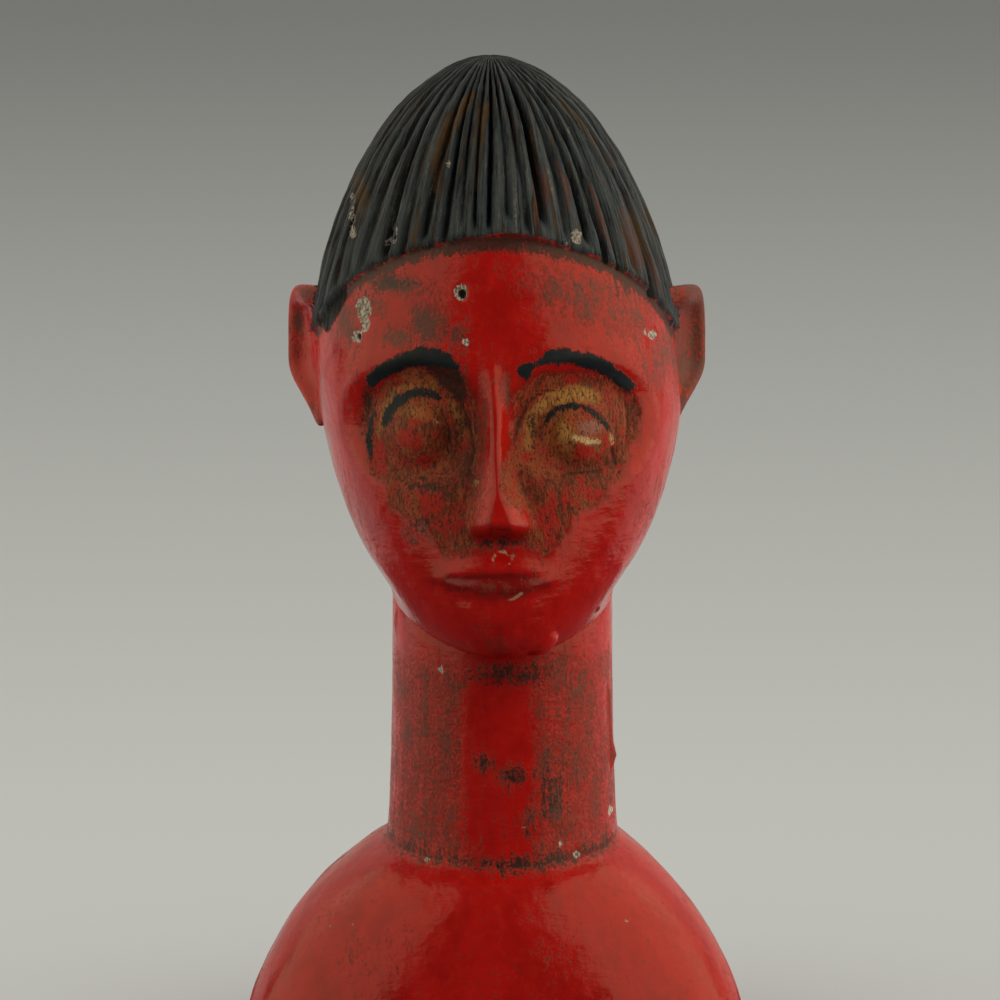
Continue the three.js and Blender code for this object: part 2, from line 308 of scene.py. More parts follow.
def face_relief(across, level):
    from_socket = oval_distance(across, level, SOCKET_LEVEL, SOCKET_WIDTH, SOCKET_HEIGHT)
    from_eye = oval_distance(across, level, EYE_LEVEL, EYE_WIDTH, EYE_HEIGHT)
    from_lid = oval_distance(across, level, EYE_LEVEL, LID_WIDTH, LID_HEIGHT)
    upper = smooth((level - level_at(EYE_LEVEL)) / EYE_HEIGHT, -0.43, 0.26)
    socket = -SOCKET_DEPTH * (1 - smooth(from_socket, 0.5, 1.06))
    eye = EYE_BULGE * dome(from_eye, 0.75)
    lid = LID_BULGE * dome(from_lid, 1.1) * mix(0.45, 1, upper)
    brow = BROW_RISE * upper * smooth(from_socket, 0.85, 1.12) * (1 - smooth(from_socket, 1.15, 1.5))

    nose_length = (NOSE_ROOT_LEVEL - NOSE_TIP_LEVEL) * HEAD_HEIGHT
    down = (level_at(NOSE_ROOT_LEVEL) - level) / nose_length
    ridge = mix(NOSE_ROOT_SHIFT, NOSE_TIP_SHIFT, np.clip(down, 0, 1) ** 2)
    half = mix(NOSE_ROOT_WIDTH, NOSE_WIDTH, smooth(down, 0.4, 1) ** 1.3) / 2
    tip = NOSE_TIP_WIDTH / 2 * smooth(down, 0.65, 1)
    slope = np.clip((np.hypot(across - ridge, 0.35) - tip) / (half - tip), 0, 1)
    sides = (1 - slope) * mix(1, 1.15, slope) ** 2
    ends = smooth(down, -0.2, 0.25) * (1 - smooth(down, 0.96, 1.09))
    nose = NOSE_REACH * mix(0.28, 1, np.clip(down, 0, 1) ** 0.9) * sides * ends

    up = (level - level_at(MOUTH_LEVEL)) / LIP_HEIGHT
    out = (across - MOUTH_SHIFT) / (MOUTH_WIDTH / 2)
    lips = LIP_RISE * (1 - smooth(np.hypot(out, up), 0.55, 1.15))
    parting = LIP_PARTING * np.exp(-(((up - 0.06 * out) / 0.17) ** 2))
    parting = parting * (1 - smooth(np.abs(out), 0.58, 0.95))
    return socket + np.maximum(eye, lid) + brow + nose + lips - parting


tilt = 1.2 * smooth(surface[..., 2], level_at(0.7), level_at(1))
outward = np.stack(np.broadcast_arrays(np.sin(angles)[None], -np.cos(angles)[None], tilt), -1)
outward /= np.linalg.norm(outward, axis=-1, keepdims=True)
on_head = smooth(surface[..., 2], CHIN_LEVEL, level_at(0.03))
facing = smooth(np.cos(angles)[None], 0.25, 0.6) * on_head
hair = hair_relief(surface, turns[None]) * smooth(surface[..., 2], level_at(0.2), level_at(0.3))
carved = surface + outward * hair[..., None]
carved[..., 1] -= face_relief(surface[..., 0], surface[..., 2]) * facing
carved[-1, :, 2] = 0


def closed_mesh(name, rings, start, end):
    """A closed mesh from rings of points, with a single point at either end."""
    rows, columns = rings.shape[:2]
    points = np.vstack([start, rings.reshape(-1, 3), end]) * MM
    ring = 1 + np.arange(rows * columns).reshape(rows, columns)
    beside = np.roll(ring, -1, axis=1)
    faces = np.stack([ring[:-1], ring[1:], beside[1:], beside[:-1]], -1).reshape(-1, 4).tolist()
    faces += [(0, a, b) for a, b in zip(ring[0], beside[0])]
    faces += [(len(points) - 1, b, a) for a, b in zip(ring[-1], beside[-1])]
    mesh = bpy.data.meshes.new(name)
    mesh.from_pydata(points.tolist(), [], faces)
    piece = bpy.data.objects.new(name, mesh)
    bpy.context.scene.collection.objects.link(piece)
    return piece


bust = closed_mesh("painted_bust", carved, crown, np.zeros(3))


# The ears. Each is an oval shell, hollow in front and thinner at its lobe, left standing out of the
# side of the head and turned a little to the front.
EAR_HEIGHT = 22.4
EAR_DEPTH = 13
EAR_REACH = 2.1
EAR_HOLLOW = 2
EAR_SHIFT = 0.2
EAR_TOP = 0.609
EAR_ROOT = 3
EAR_TURN = math.radians(24)


def ear_mesh(side):
    spokes, rows = 96, 40
    middle = np.array(
        [side * HEAD_WIDTH / 2 + EAR_SHIFT, 0.02 * HEAD_DEPTH, level_at(EAR_TOP) - EAR_HEIGHT / 2]
    )
    section = np.array(
        [
            (0, EAR_REACH - EAR_HOLLOW),
            (0.3, EAR_REACH - EAR_HOLLOW),
            (0.6, EAR_REACH - EAR_HOLLOW * 0.7),
            (0.8, EAR_REACH * 0.95),
            (0.96, EAR_REACH),
            (1, EAR_REACH * 0.45),
            (0.96, -EAR_ROOT * 0.6),
            (0.9, -EAR_ROOT),
            (0, -EAR_ROOT),
        ]
    )
    steered = np.vstack([section[0], section, section[-1]])
    share, reach = curve_through(steered, np.linspace(0, len(section) - 1, rows)).T[:, :, None]
    around = (side * np.arange(spokes) * 2 * math.pi / spokes)[None]
    sine, cosine = np.sin(around), np.cos(around)
    squareness = np.where(cosine > 0, 2 / 4.5, 2 / 2.2)
    up = np.sign(cosine) * np.abs(cosine) ** squareness
    out = np.sign(sine) * np.abs(sine) ** squareness
    narrowing = mix(0.5, 1, smooth(up, -1, -0.1))
    height = EAR_HEIGHT / 2 * share * up
    thinning = mix(0.45, 1, smooth(height / EAR_HEIGHT, -0.5, -0.1))
    opening = mix(1, 0.1, smooth(share * out, 0, 0.85))
    reach = np.where(reach > 0, reach * thinning * opening, reach)
    sideways = np.array([side * math.cos(EAR_TURN), -math.sin(EAR_TURN), 0])
    forward = np.array([-side * math.sin(EAR_TURN), -math.cos(EAR_TURN), 0])
    rings = (
        middle
        + reach[..., None] * sideways
        + (EAR_DEPTH / 2 * share * (1 - (1 - out) * narrowing))[..., None] * forward
        + height[..., None] * np.array([0, 0, 1])
    )
    return closed_mesh("ear", rings[1:-1], rings[0, 0], rings[-1, 0])


for side in (-1, 1):
    ear = ear_mesh(side)
    union = bust.modifiers.new("ear_union", "BOOLEAN")
    union.solver = "MANIFOLD"
    union.operation = "UNION"
    union.object = ear
    depsgraph = bpy.context.evaluated_depsgraph_get()
    joined = bpy.data.meshes.new_from_object(bust.evaluated_get(depsgraph))
    bust.modifiers.clear()
    bust.data = joined
    bpy.data.objects.remove(ear)


# The surface of the paint and the wood. Everything below is read from the points of the joined
# carving, in millimetres. What is seen from the front is placed by x and z alone.
FAR_OUT = 99.0

mesh = bust.data
points = np.empty(3 * len(mesh.vertices))
mesh.vertices.foreach_get("co", points)
points = points.reshape(-1, 3) / MM
normals = np.empty(3 * len(mesh.vertices))
mesh.vertices.foreach_get("normal", normals)
normals = normals.reshape(-1, 3)
x, y, z = points.T
front = smooth(-normals[:, 1], -0.05, 0.15)

loft_points = carved.reshape(-1, 3)
loft_tree = kdtree.KDTree(len(loft_points))
for index, point in enumerate(loft_points.tolist()):
    loft_tree.insert(point, index)
loft_tree.balance()
nearest = [loft_tree.find(point)[1:] for point in points.tolist()]
from_loft = np.array([distance for _, distance in nearest])
nearest = np.array([index for index, _ in nearest])
on_ear = smooth(from_loft, 0.2, 0.5) * (np.abs(x) > 0.9 * HEAD_WIDTH / 2) * (z > level_at(0.3))
ridge = 1 - np.clip((HAIR_RISE - hair.reshape(-1)[nearest]) / GROOVE_DEPTH, 0, 1)


def lumps(size, seed=0.0):
    """Smooth noise from -1 to 1 at each point, with lumps about as long as the size in mm."""
    scaled = points / np.array(size, dtype=float) + seed
    return np.array([noise.noise(point) for point in scaled.tolist()])


def along_line(x0, z0, x1, z1):
    """The share of a line at which it comes nearest to each point, and the gap between them."""
    run = max((x1 - x0) ** 2 + (z1 - z0) ** 2, 1e-9)
    t = np.clip(((x - x0) * (x1 - x0) + (z - z0) * (z1 - z0)) / run, 0, 1)
    return t, np.hypot(x - mix(x0, x1, t), z - mix(z0, z1, t))


def stroke(*route):
    """How far inside a brush stroke each point lies. A route is x, z and half width at each stop."""
    inside = np.full(len(points), -FAR_OUT)
    for (x0, z0, width0), (x1, z1, width1) in zip(route, route[1:] or route):
        t, gap = along_line(x0, z0, x1, z1)
        inside = np.maximum(inside, mix(width0, width1, t) - gap)
    return np.where(front > 0.5, inside, -FAR_OUT)


def region(*corners):
    """How far inside a many-cornered region each point lies. Each corner is x and z."""
    gap = np.full(len(points), FAR_OUT)
    inside = np.zeros(len(points), dtype=bool)
    for (x0, z0), (x1, z1) in zip(corners, corners[1:] + corners[:1]):
        gap = np.minimum(gap, along_line(x0, z0, x1, z1)[1])
        if z0 != z1:
            inside ^= ((z0 > z) != (z1 > z)) & (x < x0 + (z - z0) * (x1 - x0) / (z1 - z0))
    return np.where(front > 0.5, np.where(inside, gap, -gap), -FAR_OUT)


def oval(middle_x, middle_z, width, height):
    """How far inside an oval each point lies, from its two half axes."""
    from_middle = np.hypot((x - middle_x) / width, (z - middle_z) / height)
    return np.where(front > 0.5, (1 - from_middle) * min(width, height), -FAR_OUT)


def patch(middle_x, middle_z, width, height, strength=1.0):
    """A soft patch that fades out, from its two half widths."""
    return strength * front * np.exp(-(((x - middle_x) / width) ** 2) - ((z - middle_z) / height) ** 2)


# Black paint: two thick brows, a thin upper lid over each eye and a stroke beside the left socket.
brow_paint = np.maximum.reduce(
    [
        stroke((-19.3, 109.5, 1.1), (-17.2, 111.3, 1.3), (-14.7, 112.6, 1.4), (-12.2, 113.3, 1.6)),
        stroke((-12.2, 113.3, 1.6), (-9.7, 113.4, 1.5), (-7.6, 112.9, 1.2), (-6.2, 112.2, 0.8)),
        stroke((4.6, 111.5, 1.4), (6.5, 112.4, 0.3), (8.4, 113.5, 1.2), (10.6, 113.7, 1.3)),
        stroke((10.6, 113.7, 1.3), (12.8, 113.3, 1.1), (15.2, 112.6, 1.3), (17.4, 111.3, 1.2)),
        stroke((17.4, 111.3, 1.2), (19.3, 109.8, 1.1), (20.8, 108.5, 1.2)),
    ]
)
lid_paint = np.maximum.reduce(
    [
        stroke((-17.3, 102.7, 0.6), (-16.8, 104.4, 0.7), (-15.4, 106.1, 0.8), (-13.7, 107.3, 0.7)),
        stroke((-13.7, 107.3, 0.7), (-11.9, 107.9, 0.6), (-10, 107.6, 0.5), (-8.6, 106.9, 0.3)),
        stroke((-19, 104.4, 0.3), (-19.6, 102.3, 0.45), (-19.9, 99.8, 0.45), (-19.5, 96.8, 0.3)),
        stroke((7.8, 103.2, 0.4), (8.5, 104.4, 0.5), (10, 105.5, 0.45), (11.8, 105.9, 0.45)),
        stroke((11.8, 105.9, 0.45), (13.7, 105.6, 0.4), (15.6, 104.5, 0.4), (17.1, 103, 0.35)),
        stroke((17.1, 103, 0.35), (18.2, 101.4, 0.2)),
    ]
)
black_paint = np.maximum(brow_paint + 0.5 * lumps(1.5, 3) - 0.1, lid_paint + 0.2 * lumps(1, 5))

# Painted shade: a band of darker red across the lips, standing for the shade of the mouth's parting.
mouth_shade_paint = oval(0.1, 78.4, 9.4, 1.6) + 0.35 * lumps((2, 2, 1), 15)

# Bare wood, where the enamel has gone: both sockets and a tongue of wear down beside the nose, with
# one flank of the nose. The enamel has stayed on its ridge and on its wings.
left_wear = region(
    *((-20.9, 102.3), (-19.6, 107), (-16.9, 109.4), (-11.4, 111.6), (-5.8, 110.2), (-3.6, 107.6)),
    *((-2.6, 103), (-2.5, 96.8), (-2.9, 92.3), (-3.9, 87.8), (-3.6, 84), (-7.5, 82.3)),
    *((-9.6, 84.8), (-11, 87.4), (-15.3, 89.4), (-17, 93.2), (-20, 96.4)),
)
right_wear = region(
    *((22.4, 104.2), (21.2, 107.2), (15.2, 110.4), (8.3, 111), (4.6, 109.4), (3.2, 107)),
    *((2.7, 103), (2.6, 99), (0.8, 97), (0.9, 93.5), (2.2, 91.3), (5.8, 89.5)),
    *((6, 86.5), (5, 84.8), (7.4, 83), (10.3, 85.6), (11.4, 88), (13.3, 89.6)),
    *((17.4, 91.6), (19.8, 96), (22, 100.4)),
)
bare_wood = np.maximum(left_wear, right_wear)
bare_wood += 0.7 * lumps((1.3, 1.3, 2.6), 8) + 0.9 * lumps(4, 3)

# Knife lines round the eyes, which hold the dirt.
eye_lines = np.maximum.reduce(
    [
        stroke((9.4, 108.2, 0.15), (7.4, 107.8, 0.3), (5.4, 106.5, 0.25), (4, 103.7, 0.3), (2.9, 99.8, 0.2)),
        stroke((-5.5, 106.7, 0.1), (-4.1, 102.8, 0.25), (-3.5, 99, 0.3), (-4.3, 95.2, 0.2), (-7, 92.8, 0.1)),
        stroke((-17.6, 97, 0.1), (-15, 95.2, 0.2), (-11.5, 94.6, 0.2), (-7, 95.6, 0.1)),
        stroke((9, 96.6, 0.1), (12, 95.2, 0.2), (16, 95.4, 0.2), (19, 97.5, 0.1)),
        stroke((18.3, 99, 0.25), (18.9, 96.4, 0.35)),
        stroke((-7.8, 104, 0.1), (-7, 101, 0.25), (-7.6, 98, 0.1)),
        stroke((20.4, 106, 0.1), (21, 103, 0.2), (20.6, 99, 0.1)),
    ]
)

# Colour that is left on the wood: ochre round the eyes, and a little red, mauve and cream on them.
ochre = np.maximum.reduce(
    [
        smooth(stroke((6.8, 105.2, 0.7), (8.4, 106.6, 1), (12.9, 107.7, 1.2), (15.4, 107, 0.8)), -0.7, 0.5),
        0.55 * smooth(stroke((6.2, 104.6, 0.7), (5.1, 102, 0.8), (5.4, 99.2, 0.5)), -0.7, 0.4),
        0.55 * smooth(stroke((-18.2, 101, 0.2), (-17.5, 105, 0.4), (-15.4, 107.8, 0.5)), -0.6, 0.3),
        0.42 * smooth(stroke((-15.4, 107.8, 0.5), (-12.4, 109.3, 0.8), (-9.4, 108.9, 0.6)), -0.6, 0.4),
        0.45 * smooth(stroke((-7.2, 106.5, 0.3), (-5.6, 104, 0.4), (-5, 101, 0.2)), -0.6, 0.3),
        patch(10.6, 101.4, 1.7, 2.4, 1.1),
        patch(-12.3, 104.8, 2.6, 1.5, 0.5),
    ]
)
cream = np.maximum.reduce(
    [
        stroke((12.2, 100.9, 0.35), (14.4, 100.3, 0.6), (16.2, 100.1, 0.4)),
        stroke((18.1, 101.2, 0.12), (18.4, 99.4, 0.2)),
        stroke((-2.9, 94, 0.35)),
        stroke((-9.4, 103.8, 0.12), (-9, 103.2, 0.12)),
    ]
)
mauve = patch(14.8, 102.4, 2.4, 1.4)
eye_red = np.maximum.reduce(
    [
        patch(-13.6, 100.4, 2.6, 2.2, 1.2),
        patch(-12.8, 103.5, 1.2, 0.4, 1.3),
        patch(13.8, 98.2, 2.8, 1.3, 1.2),
        patch(17.2, 99.7, 0.6, 1.8, 1.2),
        patch(-10, 90.4, 3.4, 2.8, 1.05),
        patch(4.5, 98, 1.6, 0.8, 1.2),
        patch(14.5, 94.2, 2.6, 0.6, 1.1),
        patch(16.5, 91.5, 3, 2, 0.95),
        patch(-18.2, 97, 1.6, 4, 1),
        patch(8.4, 85.6, 1.6, 2, 1.1),
        patch(-11.5, 97.2, 1.6, 0.9, 0.9),
        patch(12, 110, 5, 0.8, 0.85),
        patch(-7.5, 87, 3.5, 4.5, 0.8),
        patch(8, 88.5, 3.4, 4, 0.75),
        patch(12, 92, 3, 3, 0.7),
    ]
)

# Chips through to the white ground, each with its half widths. The two deepest are dark inside.
chips = np.maximum.reduce(
    [
        oval(-20.7, 120.4, 1.2, 1.7),
        oval(-20.4, 118, 0.7, 1.2),
        oval(-5.4, 123.5, 1.05, 1.25),
        oval(-21.7, 116, 0.8, 0.9),
        oval(23.5, 116.6, 0.45, 0.4),
        oval(24.8, 116, 0.7, 0.7),
        oval(-4.6, 115.9, 0.6, 0.6),
        oval(-22.7, 136.8, 0.5, 0.9),
        oval(-22.7, 134.2, 0.55, 0.9),
        oval(-22.6, 131.9, 0.6, 0.8),
        stroke((-15.7, 133.2, 0.3), (-15.8, 131.4, 0.35), (-17.2, 130.5, 0.3)),
        oval(12.7, 131.9, 0.9, 1.1),
        oval(11.2, 130.9, 0.35, 0.35),
        oval(-7.4, 143.2, 0.3, 0.5),
        oval(11.6, 148, 0.3, 0.4),
        oval(-8.6, 62.8, 0.5, 0.8),
        oval(-14.6, 50.2, 0.3, 0.6),
        oval(18.4, 39.2, 0.4, 0.8),
        oval(12.9, 33.2, 0.6, 0.55),
        oval(10.4, 35.5, 0.3, 0.6),
        oval(-10.9, 32.3, 0.4, 0.35),
        oval(-26, 21.9, 0.45, 0.3),
        oval(-22.7, 22.6, 0.5, 0.3),
        oval(20.8, 23.5, 0.3, 0.4),
    ]
)
chips = chips + 0.18 * lumps(0.9, 2)
scratches = np.maximum.reduce(
    [
        stroke((-0.5, 81.9, 0.2), (0, 83, 0.22), (1.3, 83.5, 0.24), (1.9, 82.9, 0.15), (2.8, 83.1, 0.2)),
        stroke((2.8, 83.1, 0.2), (2.7, 82, 0.15), (1.9, 81.3, 0.1), (1.2, 81.1, 0.1)),
        stroke((0.3, 75.8, 0.08), (2, 75.8, 0.15), (3, 76.2, 0.25), (4.1, 77, 0.25)),
        stroke((1.5, 33.1, 0.1), (3, 33.2, 0.15), (4.4, 33.3, 0.1)),
        stroke((2.2, 38.4, 0.1), (4.6, 38.1, 0.2)),
        stroke((-5.2, 32.6, 0.08), (-3.2, 32.4, 0.12)),
    ]
)
pits = np.maximum.reduce(
    [
        oval(-5.2, 123.3, 0.75, 0.9),
        oval(-21.5, 116.1, 0.5, 0.6),
        oval(0.4, 31.9, 0.4, 0.4),
        oval(-15.9, 132, 0.4, 1.1),
    ]
)

# Dirt and rubbed paint, a brown film with darker spots where it is thick: under the hairline, on the
# forehead and the right temple, beside and under the nose, on the lips, the throat and the neck. Under the
# nose, on the lips and at the throat under the chin, the film is painted shade as well as dirt.
below_hair = -above_hairline(points)
hair_dirt = smooth(below_hair, -0.3, 0.3) * (1 - smooth(below_hair, 0.7, 3.2)) * (1 - on_ear)
foot_level = SHOULDER_HEIGHT + NECK_FOOT_DIP * y / (NECK_DEPTH / 2)
neck_foot = np.exp(-(((z - foot_level - 1.2) / 1.5) ** 2)) * (np.abs(x) < 20)
on_neck = smooth(z, foot_level, foot_level + 3) * (1 - smooth(z, CHIN_LEVEL - 3, CHIN_LEVEL + 2))
grime_and_shade = np.maximum.reduce(
    [
        1.15 * hair_dirt * (z > level_at(0.3)),
        patch(-15.5, 124.2, 7, 1.9, 1.2),
        patch(-19, 121, 4, 2.4, 0.85),
        patch(-23.4, 117.5, 2.8, 5, 1),
        patch(-10.4, 118.8, 3.4, 4, 1.3),
        patch(-15.4, 116.2, 3.2, 2.2, 1.1),
        patch(-6, 116.4, 2.2, 4, 0.95),
        patch(-6.2, 110.3, 2, 2.6, 1.25),
        patch(-2.2, 102, 1.2, 9, 1.15),
        patch(20.5, 119.5, 6, 4, 1),
        patch(27, 113, 3, 5, 0.9),
        patch(-3.2, 94, 1.5, 6, 1.1),
        patch(1.6, 108.4, 1.2, 4, 0.9),
        patch(8.6, 124.2, 5.5, 3.6, 0.98),
        patch(14.5, 122, 7, 4.4, 0.95),
        patch(20.4, 119.6, 5, 6, 1.02),
        patch(25.4, 111, 3.4, 4.4, 0.9),
        1.15 * np.exp(-(((x - 30.5) / 5.5) ** 2) - ((z - 114) / 9) ** 2),
        patch(-31.6, 117, 0.8, 3, 1.4),
        patch(-30.6, 121.6, 2.4, 1.6, 1),
        # Painted shade under the nose, with dirt.
        patch(0.6, 84.6, 5.5, 1.5, 0.95),
        # Painted shade across the mouth, with dirt.
        patch(0.5, 77.6, 7, 1.3, 0.62),
        patch(-13, 86, 2, 3, 0.72),
        patch(0.7, 68.7, 2, 1.8, 0.95),
        # The next two patches are painted shade under the chin, with dirt.
        patch(1.5, 62.6, 8, 1.4, 1.1),
        patch(10, 63.6, 3.2, 2.6, 1.25),
        patch(13, 60.4, 4.6, 4.4, 0.85),
        patch(7.8, 49, 2.4, 7, 0.95),
        patch(9.6, 42.6, 2.2, 4.6, 1.25),
        patch(6, 39, 4, 3, 0.95),
        patch(2.4, 46, 3.2, 2.2, 1.05),
        patch(-1.8, 48.6, 2.6, 1.8, 1),
        patch(-8.4, 47.6, 1.8, 3.6, 0.85),
        patch(-12, 36.4, 5, 3.4, 1),
        patch(-5, 35, 3.4, 2.6, 0.9),
        patch(26, 88, 5, 10, 0.5),
        patch(-24, 84, 4, 10, 0.6),
        0.72 * on_neck * smooth(np.abs(x - 0.4), 3.4, 7),
        0.9 * neck_foot,
        0.8 * on_ear * smooth(np.abs(y - 2), 0, 5),
        1.2 * on_ear * (x > 0),
        0.5 + 0.3 * lumps(14, 4) - 0.4 * front,
    ]
)
grime_and_shade += np.minimum(grime_and_shade, 0.8) * (0.5 * lumps((3, 3, 3.6), 12) + 0.35 * lumps(1.3, 13))

# Soot, the darkest dirt: along the hairline, at the foot of the neck, and in a smudge at the inner end of
# the left brow. The same field is painted shade in the corners and along the rims of the sockets, and
# painted shade together with dirt under the nose and at the throat under the chin.
smudge = stroke((-9.6, 112.4, 1.3), (-7.4, 110.6, 1.8), (-5.6, 107.8, 1.3))
soot_and_shade = np.maximum.reduce(
    [
        1.35 * hair_dirt * (z > level_at(0.3)),
        1.3 * smooth(smudge, -0.9, 0.8),
        # Painted shade under the chin at the throat, with dirt.
        patch(1.8, 62.4, 7, 1.3, 1.15),
        patch(-17, 124.8, 4.5, 1.6, 1.05),
        patch(-20.6, 122.6, 2, 2, 0.7),
        patch(21, 124, 4, 2, 0.7),
        # Painted shade under the nose, with dirt.
        patch(0.6, 84.8, 5.5, 1, 0.7),
        patch(3.4, 131.6, 5.5, 1.6, 1.25),
        # The next six patches are painted shade in and around the sockets.
        patch(-5.4, 101, 1.2, 5, 0.78),
        patch(5.6, 102, 1.2, 4, 0.74),
        patch(21.5, 104, 1.2, 4, 0.7),
        patch(-11.2, 87, 1.4, 2, 0.9),
        patch(-19.8, 106, 1.2, 4, 0.8),
        patch(-10, 93.4, 5.5, 1.2, 0.85),
        patch(8.4, 43.6, 2.4, 4.6, 0.78),
        patch(6.4, 37.4, 3.4, 1.4, 0.7),
        patch(-1.4, 48.4, 2.4, 1.4, 0.7),
        patch(3.4, 46, 2.2, 1.8, 0.7),
        0.66 * neck_foot,
    ]
)
soot_and_shade += np.minimum(soot_and_shade, 0.8) * 0.6 * lumps((2, 2, 3), 22)

# Wear of the hair: ochre and brown on the ridges over the brow, red where the enamel shows through
# on the right, and a smooth untouched band along the left hairline.
above = above_hairline(points)
rubbed_locks = stroke((-3.6, 153.6, 0.5), (-7, 149.2, 0.9), (-9, 144.5, 0.6), (-9.6, 139, 0.3))
hair_wear = np.maximum.reduce(
    [
        1.1 * smooth(rubbed_locks, -1, 0.4),
        0.9 * smooth(stroke((-1.6, 152, 0.4), (-2.8, 146, 0.6), (-3.2, 139, 0.3)), -0.8, 0.4),
        0.9 * smooth(stroke((9, 153.4, 0.2), (14, 148.6, 0.4), (18.4, 142, 0.3)), -0.8, 0.3),
        patch(-21.4, 138, 1.6, 4, 1.1),
        patch(22, 131, 4, 8, 0.7),
        ridge * (0.3 + 0.4 * lumps((2, 2, 14), 6)),
    ]
)
hair_red = ridge * np.maximum.reduce(
    [
        patch(7.6, 139, 1.4, 5, 0.8),
        smooth(stroke((9.2, 143.4, 0.2), (10.8, 139.7, 0.5), (11.6, 135.6, 0.3)), -0.8, 0.2),
        smooth(stroke((15.4, 139, 0.1), (16.6, 134, 0.5), (18.4, 130.6, 0.5)), -0.8, 0.2),
        smooth(stroke((20, 136, 0.2), (21.2, 130.8, 0.6), (22.6, 127, 0.6)), -0.8, 0.2),
        patch(25, 124, 1.4, 5, 0.8),
    ]
)
untouched = stroke((-25.6, 121, 2), (-24.4, 126, 2.6), (-19, 130, 2.4), (-12, 133.4, 1.2))

# The paint of the hair ends at the hairline, where it is thin in the middle and comes down in a point
# at the left temple. The ears have none.
sideburn = stroke((-25.6, 122, 2.2), (-26.4, 119.5, 1.6), (-26.6, 116.6, 0.5))
hair_paint = np.maximum(above + 0.5 * lumps(2.2, 1), sideburn + 0.3 * lumps(1.5, 1))
hair_paint -= 1.2 * patch(3.6, 132, 4.5, 1.2)
hair_paint = np.where(z > level_at(0.2), mix(hair_paint, -3, on_ear), -3)


def drop(place, width, height):
    """A raised bead of paint at a place on the surface."""
    gap = np.linalg.norm(points - np.array(place), axis=1) / width
    return height * np.maximum(0, 1 - gap**2)


# The relief that the paint adds: lumps and sags in the enamel, brush marks in the hair, grain in the
# bare wood, the edge of each layer, and the runs and beads where the enamel was laid on too thick.
bare = smooth(bare_wood, -0.15, 0.35)
in_hair = smooth(hair_paint, -0.2, 0.4)
sags = 0.06 * lumps(4.2) + 0.02 * lumps(1.6, 7) + 0.1 * (z < SHOULDER_HEIGHT) * lumps((7, 7, 3.4), 9)
brushed = 0.1 * lumps((1.2, 1.2, 8), 2) + 0.16 * lumps((3.2, 3.2, 9), 5)
from_socket = oval_distance(x, z, SOCKET_LEVEL, SOCKET_WIDTH, SOCKET_HEIGHT)
knife_marks = 0.05 * np.sin(28 * from_socket + 2 * lumps(4, 6)) * (1 - smooth(from_socket, 0.9, 1.2))
grain = 0.05 * lumps((1.1, 1.1, 4), 4) + 0.05 * lumps(2.2, 3) + knife_marks
relief = mix(mix(sags, brushed, in_hair), grain - 0.14, bare)
relief += 0.1 * smooth(black_paint, -0.2, 0.3) - 0.22 * smooth(chips, -0.1, 0.35)
relief -= 0.6 * smooth(pits, 0, 0.5) + 0.25 * smooth(eye_lines, -0.25, 0.2)
chin_bead = [((7.8, -31.4, 68), 3, 0.9), ((5.8, -33, 70.6), 3.4, 0.4)]
run_of_paint = [
    ((18.1, -4.9, 57), 1.1, 0.4),
    ((18.3, -4.5, 54.5), 1.1, 0.4),
    ((18.4, -4.1, 52), 1.1, 0.4),
    ((18.5, -3.8, 49.6), 1.1, 0.4),
    ((18.5, -3.8, 48.3), 1.5, 0.95),
]
small_beads = [
    ((-8.8, -15.8, 50.7), 0.8, 0.45),
    ((-7.2, -16.8, 50.2), 0.7, 0.35),
    ((-10.7, -14.6, 49.2), 0.7, 0.35),
    ((-8.4, -16, 48), 0.6, 0.3),
    ((9.6, -15.4, 56), 0.8, 0.3),
    ((-15.9, -4.9, 69.5), 1, 0.6),
    ((16.6, -20, 72.6), 0.9, 0.4),
]
relief += np.maximum.reduce([drop(*bead) for bead in chin_bead + run_of_paint + small_beads])
relief *= smooth(z, 0.3, 2)
moved = points + normals * relief[:, None]
mesh.vertices.foreach_set("co", (moved * MM).reshape(-1))
mesh.update()
mesh.shade_smooth()

fields = {
    "hair_paint": hair_paint,
    "hair_ridge": ridge,
    "hair_wear": hair_wear,
    "hair_red": hair_red,
    "untouched_hair": smooth(untouched, -1.8, 0.8),
    "black_paint": black_paint,
    "bare_wood": bare_wood,
    "ochre": ochre,
    "cream": cream,
    "mauve": mauve,
    "eye_red": eye_red,
    "chips": chips,
    "pits": pits,
    "scratches": scratches,
    "mouth_shade_paint": mouth_shade_paint,
    "eye_lines": eye_lines,
    "grime_and_shade": grime_and_shade,
    "soot_and_shade": soot_and_shade,
}
for name, values in fields.items():
    layer = mesh.attributes.new(name, "FLOAT", "POINT")
    layer.data.foreach_set("value", values.astype(np.float32))


# The finish, from the wood outwards: bare dark wood with open grain, a white ground that shows only in the
# chips, glossy red enamel, dirt rubbed into it with painted shade in the hollows and across the mouth, and
# dull black paint on brows and hair.
finish = bpy.data.materials.new("painted_wood")
finish.use_nodes = True
tree = finish.node_tree
shader = tree.nodes["Principled BSDF"]


def node(kind, inputs=(), **settings):
    made = tree.nodes.new(kind)
    for name, value in settings.items():
        setattr(made, name, value)
    for name, value in dict(inputs).items():
        if isinstance(value, bpy.types.NodeSocket):
            tree.links.new(value, made.inputs[name])
        else:
            made.inputs[name].default_value = value
    return made


def field(name):
    return node("ShaderNodeAttribute", attribute_name=name).outputs["Fac"]


